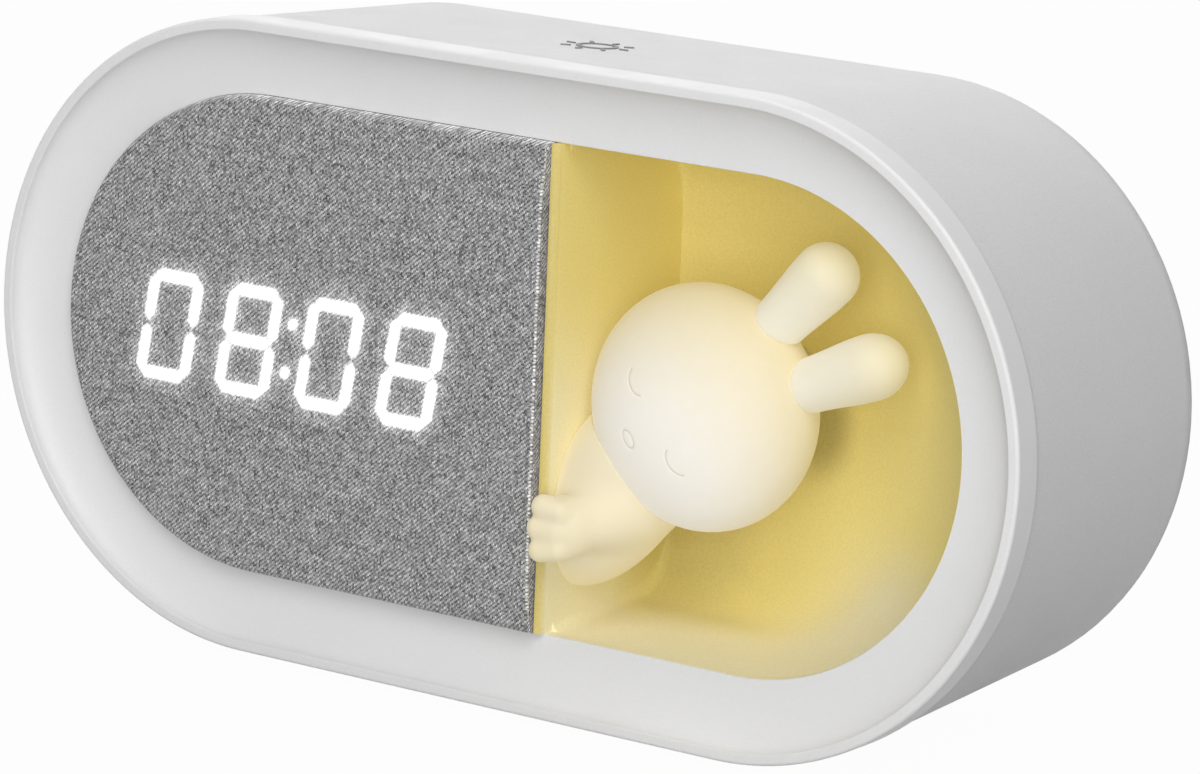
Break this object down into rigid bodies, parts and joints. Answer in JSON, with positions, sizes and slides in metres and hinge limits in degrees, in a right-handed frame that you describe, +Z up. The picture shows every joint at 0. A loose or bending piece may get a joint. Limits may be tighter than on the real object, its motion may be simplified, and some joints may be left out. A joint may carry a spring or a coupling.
{
  "type": "night light alarm clock",
  "caption": "Stadium-shaped bedside clock: cloth-covered digit display on the left, open niche with a glowing rabbit figure on the right, buttons and charging socket behind.",
  "frame": {"origin": "bottom centre of the bounding box, on the plane the feet stand on", "axes": "+X to the right along the front, +Y to the back (the front faces -Y), +Z up"},
  "size_m": [0.152, 0.0494, 0.0808],
  "materials": {
    "white_frame": "satin moulded",
    "white_housing": "fine spark-eroded texture",
    "grey_cloth": "melange weave",
    "black_plastic": "matte moulded",
    "light_bar": "milky, lit from behind",
    "yellow_plastic": "matte moulded",
    "warm_white_silicone": "soft touch, translucent",
    "clear_plastic": "clear moulded",
    "circuit_board": "green solder mask",
    "led_package": "moulded package",
    "black_component": "moulded package",
    "plated_shell": "nickel plated",
    "white_connector": "moulded",
    "ribbon_film": "flat cable",
    "grey_button": "satin moulded",
    "dark_knob": "satin moulded",
    "speaker_steel": "black coated",
    "speaker_paper": "pressed cone",
    "cell_foil": "foil pouch",
    "foam_tape": "double-sided tape",
    "contact_metal": "rolled strip",
    "mark_print": "raised print",
    "screw_steel": "zinc plated",
    "foot_rubber": "matte"
  },
  "bodies": {
    "clock": {"front_bezel": "white_frame", "rear_housing": "white_housing", "fabric_cover": "grey_cloth", "display_carrier": "black_plastic", "digit_mask": "black_plastic", "digit_bars": "light_bar", "niche_liner": "yellow_plastic", "rabbit_head": "warm_white_silicone", "rabbit_ear_upper": "warm_white_silicone", "rabbit_ear_lower": "warm_white_silicone", "rabbit_body": "warm_white_silicone", "rabbit_arm": "warm_white_silicone", "light_stem": "clear_plastic", "display_board": "circuit_board", "light_board": "circuit_board", "main_board": "circuit_board", "display_leds": "led_package", "light_leds": "led_package", "main_chips": "black_component", "board_link": "black_component", "tact_switches": "black_component", "switch_box": "black_component", "usb_socket": "plated_shell", "ribbon_connectors": "white_connector", "display_ribbon": "ribbon_film", "speaker_frame": "speaker_steel", "speaker_cone": "speaker_paper", "battery_pack": "cell_foil", "battery_tape": "foam_tape", "touch_foil": "contact_metal", "touch_leaf": "contact_metal", "touch_mark": "mark_print", "case_screws": "screw_steel", "panel_screws": "screw_steel", "display_screws": "screw_steel", "light_screws": "screw_steel", "board_screws": "screw_steel", "rubber_feet": "foot_rubber"},
    "mode_button": {"mode_button": "grey_button"},
    "down_button": {"down_button": "grey_button"},
    "up_button": {"up_button": "grey_button"},
    "alarm_button": {"alarm_button": "grey_button"},
    "light_button": {"light_button": "grey_button"},
    "alarm_slider": {"alarm_slider": "dark_knob"}
  },
  "joints": [
    {"name": "mode_button_press", "type": "slide", "parent": "clock", "child": "mode_button", "axis": [0, -1, 0], "range_m": [0, 0.0006], "stiffness_N_per_m": 1500},
    {"name": "down_button_press", "type": "slide", "parent": "clock", "child": "down_button", "axis": [0, -1, 0], "range_m": [0, 0.0006], "stiffness_N_per_m": 1500},
    {"name": "up_button_press", "type": "slide", "parent": "clock", "child": "up_button", "axis": [0, -1, 0], "range_m": [0, 0.0006], "stiffness_N_per_m": 1500},
    {"name": "alarm_button_press", "type": "slide", "parent": "clock", "child": "alarm_button", "axis": [0, -1, 0], "range_m": [0, 0.0006], "stiffness_N_per_m": 1500},
    {"name": "light_button_press", "type": "slide", "parent": "clock", "child": "light_button", "axis": [0, -1, 0], "range_m": [0, 0.0006], "stiffness_N_per_m": 1500},
    {"name": "alarm_slide", "type": "slide", "parent": "clock", "child": "alarm_slider", "axis": [1, 0, 0], "range_m": [0, 0.0026]}
  ]
}
